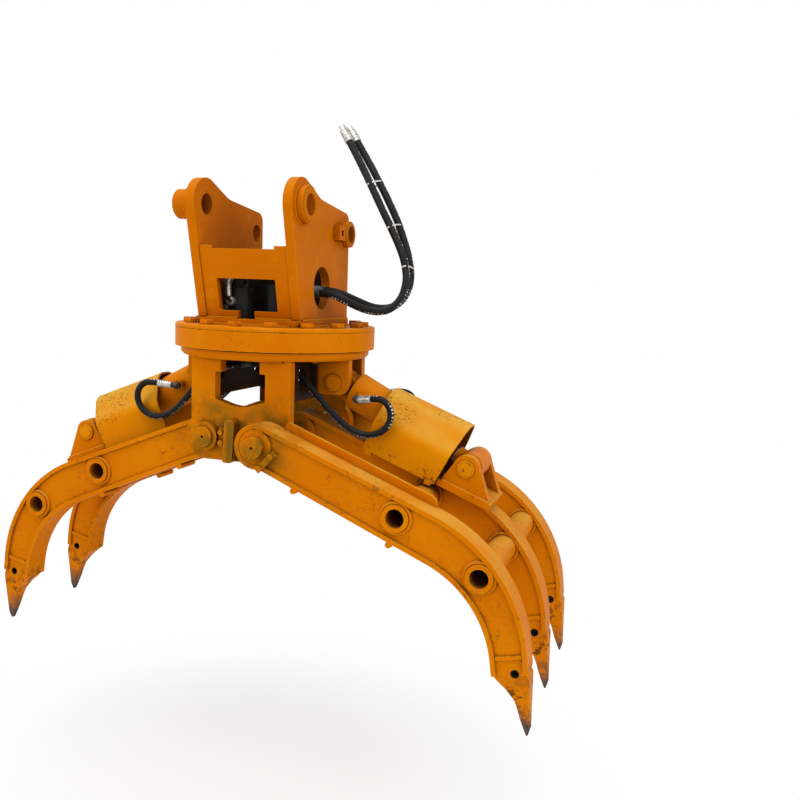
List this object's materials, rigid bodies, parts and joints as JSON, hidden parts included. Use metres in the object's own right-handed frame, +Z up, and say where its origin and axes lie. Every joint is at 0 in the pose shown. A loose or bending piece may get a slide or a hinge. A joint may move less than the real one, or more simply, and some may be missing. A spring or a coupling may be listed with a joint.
{
  "type": "excavator grapple",
  "caption": "Slewing hydraulic log and rock grapple: hanging head with pin ears, geared ring, frame with curved toothed claws, guarded cylinders and hoses.",
  "frame": {"origin": "middle of the stick pin's bore, half way between the ears", "axes": "+Z up towards the machine's stick, +X along the stick pin, towards the claw with three tines, +Y towards the link pin"},
  "size_m": [2.0024, 0.802, 1.8529],
  "materials": {
    "orange_paint": "orange gloss paint, scratched through on edges and dusty on top",
    "black_paint": "black satin paint with oil and dust",
    "bare_steel": "bare greased steel",
    "tooth_steel": "painted cast steel worn bare at the tip",
    "dark_steel": "dark phosphated steel",
    "chrome_rod": "hard chrome",
    "bronze_bush": "turned bronze",
    "hose_rubber": "black hydraulic hose cover",
    "zinc_fitting": "zinc plated",
    "seal_rubber": "black lip seal"
  },
  "bodies": {
    "head": {"head_side_right": "orange_paint", "head_side_left": "orange_paint", "head_front_plate": "orange_paint", "head_rear_plate": "orange_paint", "head_base_plate": "orange_paint", "pin_collars": "orange_paint", "slewing_cover": "orange_paint", "bearing_outer_ring": "bare_steel", "bearing_rollers": "bare_steel", "slewing_seal": "seal_rubber", "cover_bolts": "bare_steel", "slewing_motor": "black_paint", "swivel_spool": "bare_steel", "oil_manifold": "black_paint", "supply_hose_near": "hose_rubber", "supply_hose_far": "hose_rubber", "supply_hose_fittings": "zinc_fitting"},
    "pinion": {"slewing_pinion": "bare_steel"},
    "carrier": {"ring_gear": "bare_steel", "carrier_flange": "orange_paint", "frame_front_plate": "orange_paint", "frame_rear_plate": "orange_paint", "frame_webs": "orange_paint", "cylinder_lugs": "orange_paint", "cylinder_base_pins": "bare_steel", "flange_bolts": "bare_steel", "left_pivot_pin": "bare_steel", "left_pin_keepers": "bare_steel", "frame_pivot_bushes": "bronze_bush", "swivel_housing": "black_paint"},
    "right_claw": {"right_front_tine": "orange_paint", "right_middle_tine": "orange_paint", "right_rear_tine": "orange_paint", "right_cross_tubes": "orange_paint", "right_teeth": "tooth_steel", "right_tooth_pins": "bare_steel", "right_rod_lugs": "orange_paint", "right_rod_pin": "bare_steel", "right_guard": "orange_paint", "right_pivot_pin": "bare_steel", "right_pin_keepers": "bare_steel"},
    "left_claw": {"left_front_tine": "orange_paint", "left_rear_tine": "orange_paint", "left_cross_tubes": "orange_paint", "left_teeth": "tooth_steel", "left_tooth_pins": "bare_steel", "left_rod_lugs": "orange_paint", "left_rod_pin": "bare_steel", "left_cross_beam": "orange_paint", "left_guard": "orange_paint", "left_pivot_bushes": "bronze_bush"},
    "right_cylinder": {"right_barrel": "orange_paint", "right_gland": "dark_steel", "right_claw_hoses": "hose_rubber"},
    "right_rod": {"right_piston_rod": "chrome_rod"},
    "left_cylinder": {"left_barrel": "orange_paint", "left_gland": "dark_steel", "left_claw_hoses": "hose_rubber"},
    "left_rod": {"left_piston_rod": "chrome_rod"}
  },
  "joints": [
    {"name": "slew", "type": "hinge", "parent": "head", "child": "carrier", "pos_m": [0, 0.205, -0.448], "axis": [0, 0, 1], "continuous": true},
    {"name": "pinion_spin", "type": "hinge", "parent": "head", "child": "pinion", "pos_m": [-0.08485, 0.12015, -0.448], "axis": [0, 0, 1], "continuous": true},
    {"name": "right_claw_close", "type": "hinge", "parent": "carrier", "child": "right_claw", "pos_m": [0.1175, 0.205, -0.748], "axis": [0, 1, 0], "range_deg": [0, 54]},
    {"name": "right_cylinder_swing", "type": "hinge", "parent": "carrier", "child": "right_cylinder", "pos_m": [0.249, 0.205, -0.568], "axis": [0, 1, 0], "range_deg": [0, 50], "deforming": ["right_claw_hoses"]},
    {"name": "right_rod_slide", "type": "slide", "parent": "right_cylinder", "child": "right_rod", "axis": [0.8873, 0, -0.4612], "range_m": [0, 0.202]},
    {"name": "left_claw_close", "type": "hinge", "parent": "carrier", "child": "left_claw", "pos_m": [-0.1175, 0.205, -0.748], "axis": [0, -1, 0], "range_deg": [0, 54]},
    {"name": "left_cylinder_swing", "type": "hinge", "parent": "carrier", "child": "left_cylinder", "pos_m": [-0.249, 0.205, -0.568], "axis": [0, -1, 0], "range_deg": [0, 50], "deforming": ["left_claw_hoses"]},
    {"name": "left_rod_slide", "type": "slide", "parent": "left_cylinder", "child": "left_rod", "axis": [-0.8873, 0, -0.4612], "range_m": [0, 0.202]}
  ],
  "couplings": [
    {"joint": "pinion_spin", "follows": "slew", "ratio": 3},
    {"joint": "right_cylinder_swing", "follows": "right_claw_close", "ratio": 0.925},
    {"joint": "right_rod_slide", "follows": "right_claw_close", "m_per_rad": 0.214},
    {"joint": "left_cylinder_swing", "follows": "left_claw_close", "ratio": 0.925},
    {"joint": "left_rod_slide", "follows": "left_claw_close", "m_per_rad": 0.214}
  ]
}
